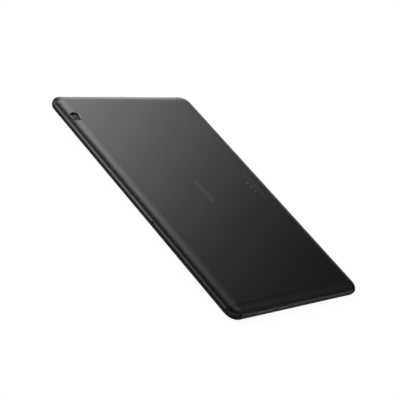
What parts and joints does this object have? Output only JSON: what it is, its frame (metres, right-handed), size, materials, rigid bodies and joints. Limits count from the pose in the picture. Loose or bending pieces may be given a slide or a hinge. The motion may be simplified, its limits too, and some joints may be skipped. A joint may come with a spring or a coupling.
{
  "type": "tablet computer",
  "caption": "Slim tablet computer with a rounded metal back, plastic aerial strip, raised rear camera, side keys and edge sockets.",
  "frame": {"origin": "centre of the front glass face, on which the tablet lies screen down", "axes": "+Z out of the back cover, +X along the length towards the sockets, +Y across the width towards the aerial strip"},
  "size_m": [0.23, 0.1598, 0.0083],
  "materials": {
    "cover_metal": "fine brushed, anodised graphite",
    "strip_plastic": "metallic painted plastic",
    "black_plastic": "satin",
    "cover_glass": "polished",
    "adhesive": "tape",
    "lcd_glass": "dark polarised",
    "film": "frosted film",
    "sheet_steel": "pressed sheet",
    "magnesium": "chromated casting",
    "screw_steel": "black zinc",
    "battery_pouch": "laminate pouch",
    "board": "solder mask",
    "chip": "moulded epoxy",
    "connector": "moulded",
    "ribbon": "polyimide",
    "wire": "sheathed",
    "key_metal": "anodised",
    "ring": "polished, dark",
    "camera_glass": "coated",
    "lens": "coated lens in a black barrel",
    "gold": "plated",
    "mesh": "woven dust mesh"
  },
  "bodies": {
    "case": {"antenna_cables": "wire", "antenna_carriers": "black_plastic", "antenna_cover": "strip_plastic", "antenna_tracks": "gold", "backlight_tray": "sheet_steel", "battery_adhesive": "adhesive", "battery_cell_left": "battery_pouch", "battery_cell_right": "battery_pouch", "battery_lead": "wire", "battery_protection_board": "board", "bezel_adhesive": "adhesive", "board_capacitors": "connector", "board_connectors": "connector", "board_screws": "screw_steel", "camera_ring": "ring", "camera_window": "camera_glass", "card_contacts": "gold", "card_reader": "sheet_steel", "cover_glass": "cover_glass", "diffuser_films": "film", "display_ribbon": "ribbon", "front_camera_lens": "lens", "front_camera_module": "black_plastic", "front_camera_ribbon": "ribbon", "front_frame": "black_plastic", "headphone_jack": "black_plastic", "lcd_panel": "lcd_glass", "led_strip": "connector", "light_guide": "film", "light_sensor": "black_plastic", "main_board": "board", "memory_chips": "chip", "microphone": "sheet_steel", "midframe": "magnesium", "midframe_screws": "screw_steel", "optical_adhesive": "cover_glass", "processor_chip": "chip", "rear_camera_module": "black_plastic", "rear_camera_ribbon": "ribbon", "rear_cover": "cover_metal", "reflector_sheet": "film", "shield_cans": "sheet_steel", "side_key_bracket": "sheet_steel", "side_key_ribbon": "ribbon", "side_key_switches": "sheet_steel", "speaker_cones": "film", "speaker_leads": "wire", "speaker_left": "black_plastic", "speaker_meshes": "mesh", "speaker_right": "black_plastic", "support_chips": "chip", "touch_ribbon": "ribbon", "tray_ejector_rod": "sheet_steel", "usb_port_shell": "sheet_steel", "usb_port_tongue": "black_plastic"},
    "power_key": {"power_button": "key_metal"},
    "volume_key": {"volume_rocker": "key_metal"},
    "card_drawer": {"card_tray": "key_metal"},
    "focus_barrel": {"camera_lens_barrel": "lens"}
  },
  "joints": [
    {"name": "power_button_press", "type": "slide", "parent": "case", "child": "power_key", "axis": [1, 0, 0], "range_m": [0, 0.0003], "stiffness_N_per_m": 5000},
    {"name": "volume_rocker_tilt", "type": "hinge", "parent": "case", "child": "volume_key", "pos_m": [-0.1115, 0.0456, 0.0046], "axis": [0, 0, 1], "range_deg": [-1.5, 1.5], "stiffness_Nm_per_rad": 0.35},
    {"name": "card_tray_slide", "type": "slide", "parent": "case", "child": "card_drawer", "axis": [1, 0, 0], "range_m": [0, 0.018]},
    {"name": "lens_focus", "type": "slide", "parent": "case", "child": "focus_barrel", "axis": [0, 0, 1], "range_m": [0, 0.00025], "stiffness_N_per_m": 400}
  ]
}
